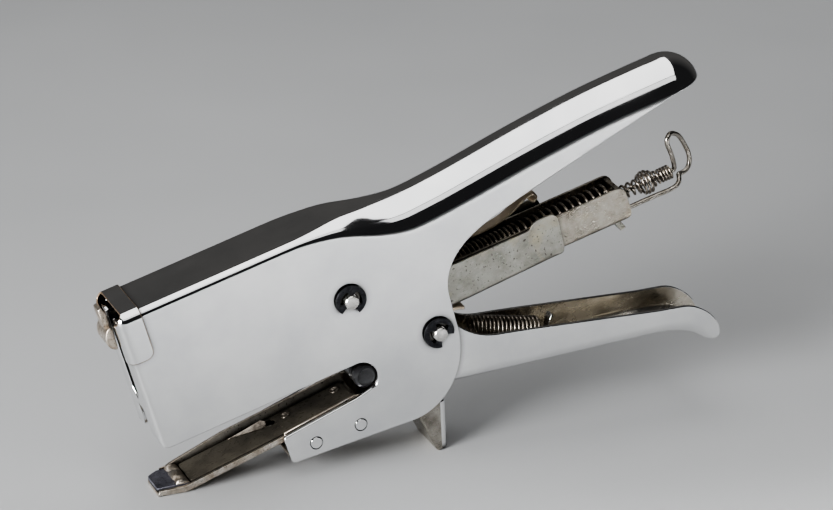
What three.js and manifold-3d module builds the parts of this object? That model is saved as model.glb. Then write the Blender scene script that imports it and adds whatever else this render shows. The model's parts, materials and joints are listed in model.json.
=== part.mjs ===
// Stapling plier: a pressed-steel shell carries the upper handle and a fixed anvil arm below its
// mouth. The lower handle turns on the rear pin, its hammer arm pushes the driver down the nose,
// and the magazine tips about the same pin to clamp the work.
//
// Everything is drawn in the tool frame: x runs rearward along the magazine, y across the tool
// (negative is the near side) and z away from the anvil. The finished tool is then tilted so that
// it stands on the heel of its anvil arm and on its rear foot.
import * as THREE from "three";
import { mergeVertices } from "three/addons/utils/BufferGeometryUtils.js";
import Module from "manifold-3d";

const wasm = await Module();
wasm.setup();

// ---------------------------------------------------------------- driving dimensions, mm
const TILT = THREE.MathUtils.degToRad(16);   // magazine line above the table when it stands
const GAP = 0.3;                             // space kept between touching pieces

const SHELL = { half: 9.4, sheet: 1.3, front: 1.2, top: 56, bottom: 15.2, edge: 2 };
const HANDLE = { radius: 9.4, endX: 164.7, endZ: 49.7 };
const FRONT_PIN = { x: 61.6, z: 33.8 };
const REAR_PIN = { x: 82.2, z: 13.9 };
const PIN = { radius: 1.95, reach: 11.4 };
const CLIP = { outer: 4.3, inner: 1.75, thick: 0.7, jaw: 1.3 };
const CLIP_Y = SHELL.half + GAP + CLIP.thick / 2;
const CAP = { rear: 7.6, bottom: 42.3, thick: 0.5, corner: 2.6, mouth: 6.4 };
const SLOT = { half: 2.75, top: 54.4, tip: 27.6 };
const HEEL = { x: 4.5, z: -1.1 };            // where the anvil arm bends and meets the table
const ARM_RISE = THREE.MathUtils.degToRad(3.3);
const ARM = { half: 6.7, sheet: 1.1, floor: 1, near: 2.1, far: 4.6, end: 52.5 };
const NOSE = { length: 7.9, near: 1.8 };     // its far front corner is clipped, seen from above
const LEAF = { half: 5.1, thick: 0.5, lift: 1.8, start: 2.1, end: 51.5 };
const LEAF_HOLE = { at: 28.7, y: 2.7, radius: 1.8 };
const LEAF_RIVET = { at: [33.6, 48.6], y: 2.6, radius: 1.45 };
const LIMB_RIVETS = [{ x: 41.2, z: -1.7, radius: 1.7 }, { x: 54.3, z: -2.2, radius: 1.7 }];
const FOOT = { half: 7.7, sheet: 1.3, fold: 1.5 };
const SLEEVE = { half: 6.5, sheet: 0.9, front: 5.4, end: 123.2, bottom: 17.6, top: 29.4 };
const CHANNEL = { half: 5.2, sheet: 0.8, front: 7.6, end: 144.6, bottom: 19.4, top: 29.5 };
const CATCH = { near: 1.6, far: 5.2, curl: { x: 120.8, z: 33.9, radius: 1.3 } };
const PUSHER = { front: 9.5, end: 21.5, half: 3.9 };
const DRIVER = { x: 3.0, thick: 1.1, half: 5.2, bottom: 20.2, top: 46, ledge: 11.5, ledgeZ: 36.8 };
const LEVER = { half: 7.8, sheet: 1.0, eye: 4.6 };
const STOP = { x: 59.9, z: 9.6, radius: 3.4 };
const WIRE = 0.68;                           // radius of the pull wire
const ROD = { z: 25, start: 19.6, end: 160.4 };
const COIL = { z: 25.8, outer: 4.1, wire: 0.9 };
const LEVER_COIL = { x0: 92.8, z0: 6.2, x1: 111.4, z1: -2.9, outer: 3.6, wire: 0.9 };

// ---------------------------------------------------------------- helpers
function toSolid(geometry) {
  const bare = geometry.clone();
  bare.deleteAttribute("normal");
  bare.deleteAttribute("uv");
  const merged = mergeVertices(bare, 1e-4);
  const position = merged.attributes.position.array;
  const index = merged.index.array;
  return new wasm.Manifold(new wasm.Mesh({
    numProp: 3,
    vertProperties: new Float32Array(position),
    triVerts: new Uint32Array(signedVolume(position, index) < 0 ? index.toReversed() : index),
  }));
}

// Six times the enclosed volume: negative when the faces point inward.
function signedVolume(position, index) {
  const corner = (i) => new THREE.Vector3().fromArray(position, index[i] * 3);
  let sum = 0;
  for (let i = 0; i < index.length; i += 3) {
    sum += corner(i).dot(corner(i + 1).cross(corner(i + 2)));
  }
  return sum;
}

function toGeometry(solid) {
  const { vertProperties, triVerts } = solid.getMesh();
  const geometry = new THREE.BufferGeometry();
  geometry.setAttribute("position", new THREE.BufferAttribute(vertProperties, 3));
  geometry.setIndex(new THREE.BufferAttribute(triVerts, 1));
  geometry.computeVertexNormals();
  return geometry;
}

const joined = (...solids) => solids.reduce((sum, solid) => sum.add(solid));
const cut = (solid, ...tools) => tools.reduce((rest, tool) => rest.subtract(tool), solid);

// An outline drawn in x and z, given thickness from y0 to y1.
function plate(outline, y0, y1, curveSegments = 6) {
  const shape = outline instanceof THREE.Shape ? outline : polygon(outline);
  const geometry = new THREE.ExtrudeGeometry(shape, {
    depth: y1 - y0, bevelEnabled: false, curveSegments,
  });
  geometry.rotateX(Math.PI / 2);
  geometry.translate(0, y1, 0);
  return toSolid(geometry);
}

function polygon(points) {
  return new THREE.Shape(points.map(([x, z]) => new THREE.Vector2(x, z)));
}

function box(x0, x1, y0, y1, z0, z1) {
  const geometry = new THREE.BoxGeometry(x1 - x0, y1 - y0, z1 - z0);
  geometry.translate((x0 + x1) / 2, (y0 + y1) / 2, (z0 + z1) / 2);
  return toSolid(geometry);
}

// A round bar across the tool, from y0 to y1.
function crossBar(x, z, radius, y0, y1, sides = 24) {
  const geometry = new THREE.CylinderGeometry(radius, radius, y1 - y0, sides);
  geometry.translate(x, (y0 + y1) / 2, z);
  return toSolid(geometry);
}

// A turned sleeve along x: outer radii at equal steps from x0 to x1, with a wall of one thickness.
function turnedSleeve(x0, x1, radii, wall, sides = 12) {
  const at = (i) => x0 + ((x1 - x0) * i) / (radii.length - 1);
  const outside = radii.map((radius, i) => new THREE.Vector2(radius, at(i)));
  const inside = radii.map((radius, i) => new THREE.Vector2(radius - wall, at(i))).reverse();
  const geometry = new THREE.LatheGeometry([...outside, ...inside, outside[0].clone()], sides);
  return geometry.rotateZ(-Math.PI / 2);
}

// A skin through matching rings of points, closed by a flat face at each end.
function loft(rings) {
  const count = rings[0].length;
  const position = rings.flat(2);
  const index = [];
  for (let k = 0; k + 1 < rings.length; k += 1) {
    for (let i = 0; i < count; i += 1) {
      const a = k * count + i;
      const b = k * count + (i + 1) % count;
      index.push(a, a + count, b + count, a, b + count, b);
    }
  }
  const last = (rings.length - 1) * count;
  for (let i = 1; i + 1 < count; i += 1) {
    index.push(0, i, i + 1, last, last + i + 1, last + i);
  }
  const geometry = new THREE.BufferGeometry();
  geometry.setAttribute("position", new THREE.Float32BufferAttribute(position, 3));
  geometry.setIndex(index);
  return toSolid(geometry);
}

// A wire of round section along a smooth curve through the given points.
function wire(points, radius, steps, sides = 8) {
  const curve = new THREE.CatmullRomCurve3(points.map((p) => new THREE.Vector3(...p)), false,
    "centripetal");
  const section = new THREE.Shape();
  section.absarc(0, 0, radius, 0, Math.PI * 2);
  return toSolid(new THREE.ExtrudeGeometry(section, {
    steps, bevelEnabled: false, extrudePath: curve, curveSegments: sides / 2,
  }));
}

const tool = new THREE.Group();

function add(name, solid, material) {
  const mesh = new THREE.Mesh(toGeometry(solid), material);
  mesh.name = name;
  tool.add(mesh);
  return mesh;
}

const metal = (color, roughness, metalness = 1) =>
  new THREE.MeshStandardMaterial({ color, roughness, metalness });

const chrome = () => metal(0xdfe1e4, 0.08);
const zinc = () => metal(0x9c988a, 0.42);
const wornNickel = () => metal(0x8e8577, 0.38);
const brightSteel = () => metal(0xc9c8c4, 0.25);
const springSteel = () => metal(0x5d5850, 0.35);
const blackOxide = () => metal(0x17181a, 0.4, 0.8);

// ---------------------------------------------------------------- shell
// The ridge of the shell: level over the head, dipping at the neck, then rising along the handle.
const ridge = new THREE.SplineCurve([
  [SHELL.front, SHELL.top], [30, SHELL.top], [64, SHELL.top], [73, 54.9], [83, 53.5], [102, 54.8],
  [122, 57.1], [142, 58.7], [HANDLE.endX, HANDLE.endZ + HANDLE.radius],
].map(([x, z]) => new THREE.Vector2(x, z)));

function ridgeAt(x) {
  let low = 0;
  let high = 1;
  for (let i = 0; i < 30; i += 1) {
    const middle = (low + high) / 2;
    if (ridge.getPoint(middle).x < x) low = middle;
    else high = middle;
  }
  return ridge.getPoint(low).y;
}

// One arch-shaped section: straight walls down from a top whose corners have radius `corner`.
function archRing(x, top, half, corner, foot) {
  const ring = [[x, -half, foot]];
  const steps = 6;
  for (const side of [-1, 1]) {
    for (let i = 0; i <= steps; i += 1) {
      const turn = (Math.PI / 2) * (i / steps) + (side < 0 ? 0 : Math.PI / 2);
      const y = side * (half - corner) - corner * Math.cos(turn);
      ring.push([x, y, top - corner + corner * Math.sin(turn)]);
    }
  }
  ring.push([x, half, foot]);
  return ring;
}

// The space inside the shell's skin, drawn `inset` within its outer surface (negative: outside).
function shellForm(inset, x0, x1) {
  const foot = -40;
  const stations = [x0, 30, 60, 64, 68, 72, 76, 80, 84, 88, 96, 104, 114, 124, 134, 144, 154];
  const rings = stations.filter((x) => x < x1).map((x) => {
    const blend = THREE.MathUtils.smoothstep(x, 64, 88);
    const corner = THREE.MathUtils.lerp(SHELL.edge, SHELL.half - 0.02, blend) - inset;
    return archRing(x, ridgeAt(x) - inset, SHELL.half - inset, Math.max(corner, 0.5), foot);
  });
  const radius = HANDLE.radius - inset;
  for (const turn of x1 > HANDLE.endX ? [0, 18, 36, 52, 66, 78] : []) {
    const angle = THREE.MathUtils.degToRad(turn);
    const half = radius * Math.cos(angle);
    rings.push(archRing(HANDLE.endX + radius * Math.sin(angle), HANDLE.endZ + half, half,
      half * 0.99, foot));
  }
  if (x1 < HANDLE.endX) {
    rings.push(archRing(x1, SHELL.top - inset, SHELL.half - inset, SHELL.edge - inset, foot));
  }
  return loft(rings);
}

// Side view of the shell: head, throat with its round end, lower limb, rear curve and handle edge.
function shellOutline() {
  const s = new THREE.Shape();
  s.moveTo(SHELL.front - 2, 70);
  s.lineTo(SHELL.front - 2, SHELL.bottom + 2.6);
  s.lineTo(SHELL.front, SHELL.bottom + 2.6);
  s.quadraticCurveTo(SHELL.front, SHELL.bottom, SHELL.front + 2.8, SHELL.bottom);
  s.lineTo(58, SHELL.bottom);
  s.absarc(58, 10.4, 4.8, Math.PI / 2, -0.79, true);
  s.lineTo(55.7, 5.7);
  s.lineTo(33, 3.7);
  s.lineTo(33.4, -4.7);
  s.lineTo(69, -7.9);
  s.bezierCurveTo(79.5, -8.2, 87.6, 1.5, 87.8, 13);
  s.lineTo(88, 22.5);
  s.bezierCurveTo(88.2, 30, 93.5, 35.5, 102.6, 38.3);
  s.bezierCurveTo(114, 41.8, 138, 46, 162.9, 50.7);
  s.lineTo(178, 53.2);
  s.lineTo(178, 70);
  return s;
}

function shellSolid() {
  const outer = shellForm(0, SHELL.front, 180).intersect(plate(shellOutline(), -12, 12));
  const hollow = shellForm(SHELL.sheet, SHELL.front + SHELL.sheet, 180);
  const noseSlot = box(-2, 6, -SLOT.half, SLOT.half, SLOT.tip + 3, SLOT.top);
  const slotTip = loft([-2, 6].map((x) => [
    [x, 0, SLOT.tip], [x, -SLOT.half, SLOT.tip + 3.2], [x, SLOT.half, SLOT.tip + 3.2],
  ]));
  const lowerSlot = box(-2, 2.5, -SLOT.half, SLOT.half, 12, 25.4);
  const pinHoles = [FRONT_PIN, REAR_PIN].map((p) => crossBar(p.x, p.z, PIN.radius + GAP, -12, 12));
  const rivetHoles = LIMB_RIVETS.map((r) => crossBar(r.x, r.z, r.radius + GAP, -12, 12));
  return cut(outer, hollow, noseSlot, slotTip, lowerSlot, ...pinHoles, ...rivetHoles);
}

// The nose cap wraps the front top corner of the shell, open in front of the driver's lug.
function frontCap() {
  const wrap = shellForm(-GAP - CAP.thick, SHELL.front - GAP - CAP.thick, 12);
  const inside = shellForm(-GAP, SHELL.front - GAP, 12.5);
  const side = new THREE.Shape();
  side.moveTo(-2, 70);
  side.lineTo(-2, CAP.bottom);
  side.lineTo(CAP.rear - CAP.corner, CAP.bottom);
  side.absarc(CAP.rear - CAP.corner, CAP.bottom + CAP.corner, CAP.corner, -Math.PI / 2, 0, false);
  side.lineTo(CAP.rear, 70);
  const opening = box(-3, SHELL.front + 1, -CAP.mouth, CAP.mouth, 20, SHELL.top - 1);
  return cut(wrap.intersect(plate(side, -12, 12)), inside, opening);
}

// ---------------------------------------------------------------- anvil arm
const alongArm = (distance, lift) => [
  HEEL.x + distance * Math.cos(ARM_RISE) - lift * Math.sin(ARM_RISE),
  HEEL.z + distance * Math.sin(ARM_RISE) + lift * Math.cos(ARM_RISE),
];
const alongNose = (distance, lift) => [
  HEEL.x - distance * Math.cos(TILT) + lift * Math.sin(TILT),
  HEEL.z + distance * Math.sin(TILT) + lift * Math.cos(TILT),
];

// An outline of (distance along the arm, y), given thickness between two heights above its base.
function standingPlate(outline, low, high) {
  const shape = outline instanceof THREE.Shape ? outline : polygon(outline);
  const geometry = new THREE.ExtrudeGeometry(shape, {
    depth: high - low, bevelEnabled: false, curveSegments: 8,
  });
  geometry.translate(0, 0, low);
  geometry.rotateY(-ARM_RISE);
  return toSolid(geometry.translate(HEEL.x, 0, HEEL.z));
}

// A round bar square to the anvil arm, between two heights above its base.
function standingBar(distance, y, radius, low, high) {
  const circle = new THREE.Shape();
  circle.absarc(distance, y, radius, 0, Math.PI * 2);
  return standingPlate(circle, low, high);
}

// What is cut from the nose, seen from above, so that it narrows on its far side.
const noseTaper = () => standingPlate([
  [5.2, 6.8], [-4.3, 5.4], [-7.1, 3.4], [-8.2, 1.4], [-14, 1.4], [-14, 12], [5.2, 12],
], -6, 8);

// A shallow channel: floor and two walls, with a short level nose that lies on the table.
function anvilArm() {
  const { half, sheet, floor, near, far, end } = ARM;
  const base = [alongNose(NOSE.length, 0), alongArm(0, 0), alongArm(end, 0)];
  const web = plate([...base, alongArm(end, floor), alongArm(0, floor),
    alongNose(NOSE.length, floor)], -half + floor, half - floor);
  const nearWall = plate([...base, alongArm(end, near), alongArm(0, near),
    alongNose(NOSE.length, NOSE.near)], -half, -half + sheet);
  const farWall = plate([...base, alongArm(end, far), alongArm(16, far), alongArm(1, 3.4),
    alongNose(2, 2.6), alongNose(NOSE.length, near)], half - sheet, half);
  return cut(joined(web, nearWall, farWall), noseTaper());
}

// The hardened anvil: a thin tongue over the nose and a raised forming bar with two staple grooves.
function anvilPlate() {
  const lift = ARM.floor + GAP;
  const half = ARM.half - ARM.sheet - GAP;
  const front = NOSE.length + 0.6;
  const tongue = plate([
    alongNose(front, lift + 0.2), alongNose(0, lift), alongArm(1.7, lift),
    alongArm(1.7, lift + 1.1), alongNose(0.5, lift + 1.1), alongNose(front, lift + 0.8),
  ], -half, half);
  const bar = plate([
    alongNose(2.8, lift + 0.6), alongArm(1.7, lift + 0.6), alongArm(1.5, lift + 2.1),
    alongNose(2, lift + 2.1),
  ], -half, half);
  const grooves = [[-4.6, -1], [1, 4.6]].map(([y0, y1]) =>
    crossBar(...alongNose(0.2, lift + 2.4), 0.7, y0, y1, 12));
  return cut(joined(tongue, bar), ...grooves, noseTaper());
}

// The dark leaf over the channel floor. A tab lanced beside its round hole rises towards the rear.
function jawLeaf() {
  const { half, thick, lift, start, end } = LEAF;
  const sheet = standingPlate([[start, -half], [end, -half], [end, half], [start, half]],
    lift, lift + thick);
  const { at, y, radius } = LEAF_HOLE;
  const slit = standingPlate([[17.5, 4.7], [27.2, 1], [at, y], [27.4, 4.8]], 0, 4);
  const holes = [standingBar(at, y, radius, 0, 4),
    ...LEAF_RIVET.at.map((s) => standingBar(s, LEAF_RIVET.y, LEAF_RIVET.radius + GAP, 0, 4))];
  const rise = plate([alongArm(15.5, lift - 0.3), alongArm(27.9, lift + 1),
    alongArm(27.9, lift + 1 + thick), alongArm(15.5, lift + thick - 0.3)], -half, half);
  const tab = rise.intersect(standingPlate([[15.8, 5], [26.8, 1.2], [27.8, 2.2], [27, 4.4]], 0, 6));
  return joined(cut(sheet, slit, ...holes), tab);
}

function leafRivet(at) {
  return standingBar(at, LEAF_RIVET.y, LEAF_RIVET.radius, ARM.floor + GAP, LEAF.lift + 0.85);
}

// The stiffener inside the lower limb: an upward channel whose cheeks are riveted to the shell.
function limbStiffener() {
  const half = SHELL.half - SHELL.sheet - GAP;
  const side = [[33.8, -3.9], [68.3, -6.9], [68.3, 3], [59, 4.8], [55, 6], [33.9, 4.1]];
  const hollow = plate([[30, -2.7], [72, -6], [72, 8], [30, 8]], -ARM.half - GAP, ARM.half + GAP);
  const holes = LIMB_RIVETS.map((r) => crossBar(r.x, r.z, r.radius + GAP, -12, 12));
  return cut(plate(side, -half, half), hollow, ...holes);
}

function limbRivet({ x, z, radius }, side) {
  const ends = [ARM.half + 0.25, SHELL.half + 0.12].map((y) => side * y);
  return crossBar(x, z, radius, Math.min(...ends), Math.max(...ends), 20);
}

// The foot: a folded bracket with a sloping front web, two cheeks and a rolled rear edge on each.
function rearFoot() {
  const { half, sheet, fold } = FOOT;
  const onTable = (x) => [x, HEEL.z - (x - HEEL.x) * Math.tan(TILT)];
  const cheek = [[68.8, -8.2], onTable(72.2), onTable(74.2), [77.6, -6.4], [77.4, 1], [70.4, 1]];
  const hollow = [[70.4, -8.2], [73.4, -17.5], [90, -17.5], [90, 4], [70.4, 4]];
  const [toeX, toeZ] = onTable(74.4);
  const folds = [-1, 1].map((side) => wire([
    [77.7, side * (half - fold), -6.8], [toeX, side * (half - fold), toeZ + fold]], fold, 1, 12));
  const web = cut(plate(cheek, -half, half), plate(hollow, -half + sheet, half - sheet));
  return joined(web, ...folds);
}

// ---------------------------------------------------------------- pins and clips
function groovedPin({ x, z }) {
  const shaft = crossBar(x, z, PIN.radius, -PIN.reach, PIN.reach);
  const groove = (y) => cut(crossBar(x, z, 4, y - 0.5, y + 0.5), crossBar(x, z, 1.5, -12, 12));
  return cut(shaft, groove(-CLIP_Y), groove(CLIP_Y));
}

// A snap ring, open on one side, that grips the pin's groove with three inner lugs.
function snapClip({ x, z }, side, mouth) {
  const open = 0.72;
  const shape = new THREE.Shape();
  shape.absarc(0, 0, CLIP.outer, open, Math.PI * 2 - open, false);
  shape.absarc(0, 0, CLIP.outer - CLIP.jaw, Math.PI * 2 - open, open, true);
  const ring = new THREE.ExtrudeGeometry(shape, {
    depth: CLIP.thick, bevelEnabled: false, curveSegments: 20,
  });
  ring.rotateX(Math.PI / 2);
  ring.translate(0, CLIP.thick / 2, 0);
  const lug = (turn) => {
    const reach = CLIP.outer - 0.3 - CLIP.inner;
    const geometry = new THREE.BoxGeometry(reach, CLIP.thick, 1.5);
    geometry.translate(CLIP.inner + reach / 2, 0, 0);
    return toSolid(geometry.rotateY(-turn));
  };
  const clip = toGeometry(joined(toSolid(ring), ...[Math.PI, open + 0.3, -open - 0.3].map(lug)));
  clip.rotateY(-mouth);
  clip.translate(x, side * CLIP_Y, z);
  return toSolid(clip);
}

// ---------------------------------------------------------------- driver
// The driver blade runs down the inside of the nose; the ledge at its back takes the hammer.
function driverBlade() {
  const { x, thick, half, bottom, top, ledge, ledgeZ } = DRIVER;
  const blade = box(x, x + thick, -half, half, bottom, top);
  return joined(blade, box(x + thick - 0.1, ledge, -half, half, ledgeZ, ledgeZ + 1.2));
}

// The lug on the driver, seen through the nose slot: a rounded bulb with a neck hooked at its top.
function driverLug() {
  const back = SHELL.front - 0.9;
  const bulb = new THREE.Shape();
  bulb.moveTo(back, 45.4);
  bulb.bezierCurveTo(-2.2, 45.4, -2.6, 49, -1.6, 50.8);
  bulb.bezierCurveTo(-0.8, 52.4, -1.4, 54.2, -1.5, 57);
  bulb.lineTo(back - 0.6, 58.2);
  bulb.lineTo(back, 54.6);
  const sides = [[-9, -2.2], [2.2, 9]].map(([y0, y1]) => box(-6, 6, y0, y1, 51.6, 60));
  const stem = box(back - 0.3, DRIVER.x - GAP, -2.3, 2.3, 45.6, 51.4);
  return joined(cut(plate(bulb, -4, 4, 8), ...sides), stem);
}

// ---------------------------------------------------------------- magazine
// The sleeve: an upward channel, notched below for the lever's pivot, with a raised rear shoulder.
function magazineSleeve() {
  const { half, sheet, front, end, bottom, top } = SLEEVE;
  const s = new THREE.Shape();
  s.moveTo(front + 1.6, top);
  s.lineTo(front, bottom + 4);
  s.lineTo(front, bottom);
  s.lineTo(71, bottom);
  s.lineTo(72, 19);
  s.lineTo(93, 19);
  s.lineTo(93.8, bottom);
  s.lineTo(end - 0.8, bottom + 1);
  s.quadraticCurveTo(end, bottom + 1.2, end, bottom + 2.4);
  s.lineTo(end + 0.4, top - 0.2);
  s.quadraticCurveTo(end - 0.2, top + 1.9, end - 2, top + 1.9);
  s.lineTo(117, top + 1.9);
  s.lineTo(114.6, top);
  const hollow = box(front - 1, end + 2, -half + sheet, half - sheet, CHANNEL.bottom - 0.4, 40);
  return cut(plate(s, -half, half), hollow);
}

// The bent tongue under the sleeve that bears on the lever's pivot.
function sleeveTongue() {
  const side = [[74, 17.4], [88.6, 17.4], [91.6, 16.4], [91.9, 17.4], [88.8, 18.6], [74, 18.6]];
  return plate(side, -6.2, 6.2);
}

function stapleChannel() {
  const { half, sheet, front, end, bottom, top } = CHANNEL;
  const s = new THREE.Shape();
  s.moveTo(front, bottom);
  s.lineTo(end - 1.6, bottom);
  s.quadraticCurveTo(end, bottom, end, bottom + 1.6);
  s.lineTo(end, top - 2.6);
  s.quadraticCurveTo(end - 0.2, top, end - 2.6, top);
  s.lineTo(front, top);
  const hollow = box(front - 1, end + 1, -half + sheet, half - sheet, bottom + sheet, 40);
  return cut(plate(s, -half, half), hollow);
}

// The flat core that the staples straddle, on the channel floor.
function stapleRail() {
  const base = CHANNEL.bottom + CHANNEL.sheet + GAP;
  return box(CHANNEL.front, 118, -3.3, 3.3, base, base + 0.8);
}

function bore(x0, x1, radius) {
  const geometry = new THREE.CylinderGeometry(radius, radius, x1 - x0, 12);
  geometry.rotateZ(Math.PI / 2);
  geometry.translate((x0 + x1) / 2, 0, ROD.z);
  return toSolid(geometry);
}

function channelEndPlate() {
  const inner = CHANNEL.half - CHANNEL.sheet - GAP;
  const base = CHANNEL.bottom + CHANNEL.sheet + GAP;
  const legHole = box(140, 146, -2.95, -1.05, 20, 22.1);
  return cut(box(142.2, 143.4, -inner, inner, base, 29), bore(140, 146, WIRE + GAP), legHole);
}

// A small stop lug bent down under the rear end of the channel.
function channelLug() {
  return plate([[139.6, 19.05], [141.6, 19.05], [143.1, 15.6], [141.4, 15.2], [140.4, 17.6]],
    -1.6, 1.6);
}

// The thumb catch: a leaf over the magazine whose curled tip is pressed to free the channel.
function thumbCatch() {
  const { near, far, curl } = CATCH;
  const s = new THREE.Shape();
  s.moveTo(99, 30.8);
  s.lineTo(108, 31);
  s.quadraticCurveTo(113, 31.8, 116.5, 33.8);
  s.quadraticCurveTo(118.6, 35, curl.x, curl.z + curl.radius);
  s.lineTo(curl.x, curl.z + curl.radius - 0.7);
  s.quadraticCurveTo(118.2, 34.2, 117, 33);
  s.quadraticCurveTo(113.4, 31.1, 108, 30.3);
  s.lineTo(99, 30.1);
  const tip = crossBar(curl.x, curl.z, curl.radius, near, far);
  return joined(plate(s, near, far), tip);
}

// ---------------------------------------------------------------- follower
function pusherBlock() {
  const { front, end, half } = PUSHER;
  const base = CHANNEL.bottom + CHANNEL.sheet + 2 * GAP + 0.8;
  return cut(box(front, end, -half, half, base, 29), bore(ROD.start - GAP, end + 2, WIRE + GAP));
}

// One bent wire: the rod through the spring, the finger loop and the leg that hooks the end plate.
function pullWire() {
  const rod = wire([[ROD.start, 0, ROD.z], [90, 0, ROD.z], [ROD.end, 0, ROD.z]], WIRE, 3);
  const loop = wire([
    [ROD.end - 0.8, 0, ROD.z], [161.2, -0.3, 25.6], [161, -1.5, 30.2], [160.4, -2.2, 34.9],
    [162.3, -1.4, 36.4], [165, 0.4, 33.8], [166.6, 1.8, 29.1], [166.9, 1.9, 25],
    [165.4, 1.2, 22.9], [162.8, 0.2, 23], [161, -1.4, 21.6], [158.6, -1.9, 20.9],
    [152, -2, 21.05], [140.4, -2, 21],
  ], WIRE, 48);
  return joined(rod, loop);
}

// The coil springs are drawn as the sleeves that they fill.
function pusherSpring() {
  const { z, outer, wire: thick } = COIL;
  return toSolid(turnedSleeve(PUSHER.end + 0.5, 141.9, [outer, outer], thick).translate(0, 0, z));
}

function ringSpring() {
  const radii = [1.9, 1.9, 2, 2.9, 3.3, 3.2, 2.4, 1.9, 1.9];
  return toSolid(turnedSleeve(145.6, 159.2, radii, 0.6).translate(0, 0, ROD.z));
}

// ---------------------------------------------------------------- lower handle
// Side view of the grip: the eye round the pivot, the long channel and its hooked end.
function gripOutline() {
  const s = new THREE.Shape();
  s.moveTo(REAR_PIN.x - LEVER.eye, REAR_PIN.z);
  s.quadraticCurveTo(77.4, 4, 81.6, -3.6);
  s.lineTo(138.9, -15.9);
  s.quadraticCurveTo(149, -18.4, 152.4, -22);
  s.quadraticCurveTo(156.2, -25.8, 158.4, -24.6);
  s.bezierCurveTo(160.6, -22.5, 157.6, -13.4, 151, -11.4);
  s.quadraticCurveTo(147.7, -10.2, 143.9, -9.2);
  s.lineTo(115.4, -0.2);
  s.quadraticCurveTo(103.5, 3.6, 97.6, 5.2);
  s.quadraticCurveTo(91.5, 7.2, 87.6, 13.4);
  s.absarc(REAR_PIN.x, REAR_PIN.z, LEVER.eye, 0, Math.PI, false);
  return s;
}

// The lower handle: a channel that runs on past the pivot as two arms beside the magazine.
function lowerHandle() {
  const { half, sheet } = LEVER;
  const arms = plate([
    [84, 11], [79, 9.9], [73, 17.2], [8, 34], [8, 43.5], [24, 41.5], [54, 32.5], [66, 29.5],
    [80, 22], [86, 15],
  ], -half, half);
  const s = new THREE.Shape();
  s.moveTo(-5, 60);
  s.lineTo(-5, -5);
  s.lineTo(77, 2);
  s.lineTo(84.6, -2.9);
  s.lineTo(138.9, -14.6);
  s.quadraticCurveTo(150, -17.2, 153.4, -21);
  s.quadraticCurveTo(156.6, -24, 157.2, -22);
  s.quadraticCurveTo(157.6, -16, 151, -12.7);
  s.lineTo(160, 60);
  const pinHole = crossBar(REAR_PIN.x, REAR_PIN.z, PIN.radius + 0.05, -12, 12);
  const body = joined(plate(gripOutline(), -half, half, 10), arms);
  return cut(body, plate(s, -half + sheet, half - sheet), pinHole);
}

// The hammer: a block between the arms, above the driver's ledge.
function hammerBlock() {
  const half = LEVER.half - LEVER.sheet - GAP;
  return plate([[7.9, 39.2], [8.9, 38.4], [20, 38.4], [20, 41.4], [9, 42.6]], -half, half);
}

// The return spring lies along the grip, hooked over a lanced tab at its rear end.
function leverSpring() {
  const { x0, z0, x1, z1, outer, wire: thick } = LEVER_COIL;
  const geometry = turnedSleeve(0, Math.hypot(x1 - x0, z1 - z0), [outer, outer], thick, 16);
  geometry.rotateY(Math.atan2(z0 - z1, x1 - x0));
  return toSolid(geometry.translate(x0, 0, z0));
}

function springAnchor() {
  return plate([[113.2, -8.6], [114.4, -8.9], [116.4, -0.6], [115.5, -0.2]], -1.5, 1.5);
}

// ---------------------------------------------------------------- assembly
add("body_shell", shellSolid(), chrome());
add("front_cap", frontCap(), chrome());
add("anvil_arm", anvilArm(), wornNickel());
add("anvil_plate", anvilPlate(), metal(0x2b2c33, 0.35, 0.9));
add("jaw_leaf", jawLeaf(), metal(0x3a3a30, 0.5, 0.7));
["front", "rear"].forEach((place, i) => {
  add(`leaf_rivet_${place}`, leafRivet(LEAF_RIVET.at[i]), brightSteel());
  add(`limb_rivet_${place}_near`, limbRivet(LIMB_RIVETS[i], -1), brightSteel());
  add(`limb_rivet_${place}_far`, limbRivet(LIMB_RIVETS[i], 1), brightSteel());
});
add("limb_stiffener", limbStiffener(), springSteel());
add("rear_foot", rearFoot(), chrome());
const stopReach = SHELL.half - SHELL.sheet - GAP;
add("throat_stop", crossBar(STOP.x, STOP.z, STOP.radius, -stopReach, stopReach), blackOxide());
[["front", FRONT_PIN, -1.9], ["rear", REAR_PIN, -1.05]].forEach(([place, pin, mouth]) => {
  add(`${place}_pin`, groovedPin(pin), brightSteel());
  add(`${place}_clip_near`, snapClip(pin, -1, mouth), blackOxide());
  add(`${place}_clip_far`, snapClip(pin, 1, mouth), blackOxide());
});

add("lower_handle", lowerHandle(), chrome());
add("hammer_block", hammerBlock(), springSteel());
add("lever_spring", leverSpring(), springSteel());
add("spring_anchor", springAnchor(), brightSteel());

add("driver_blade", driverBlade(), brightSteel());
add("driver_lug", driverLug(), wornNickel());

add("magazine_sleeve", magazineSleeve(), zinc());
add("sleeve_tongue", sleeveTongue(), metal(0x8a6f4d, 0.4));
add("thumb_catch", thumbCatch(), metal(0xa89877, 0.3));

add("staple_channel", stapleChannel(), zinc());
add("staple_rail", stapleRail(), springSteel());
add("channel_end_plate", channelEndPlate(), zinc());
add("channel_lug", channelLug(), zinc());
add("pusher_spring", pusherSpring(), springSteel());

add("pusher_block", pusherBlock(), springSteel());
add("pull_wire", pullWire(), brightSteel());
add("ring_spring", ringSpring(), springSteel());

// Stand the tool on its heel and foot, with the origin below the middle of its bounding box.
tool.rotation.y = -TILT;
const stapler = new THREE.Group();
stapler.add(tool);
stapler.updateMatrixWorld(true);
const bounds = new THREE.Box3().setFromObject(stapler, true);
tool.position.set(-(bounds.min.x + bounds.max.x) / 2, 0, -bounds.min.z);

export default stapler;
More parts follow.
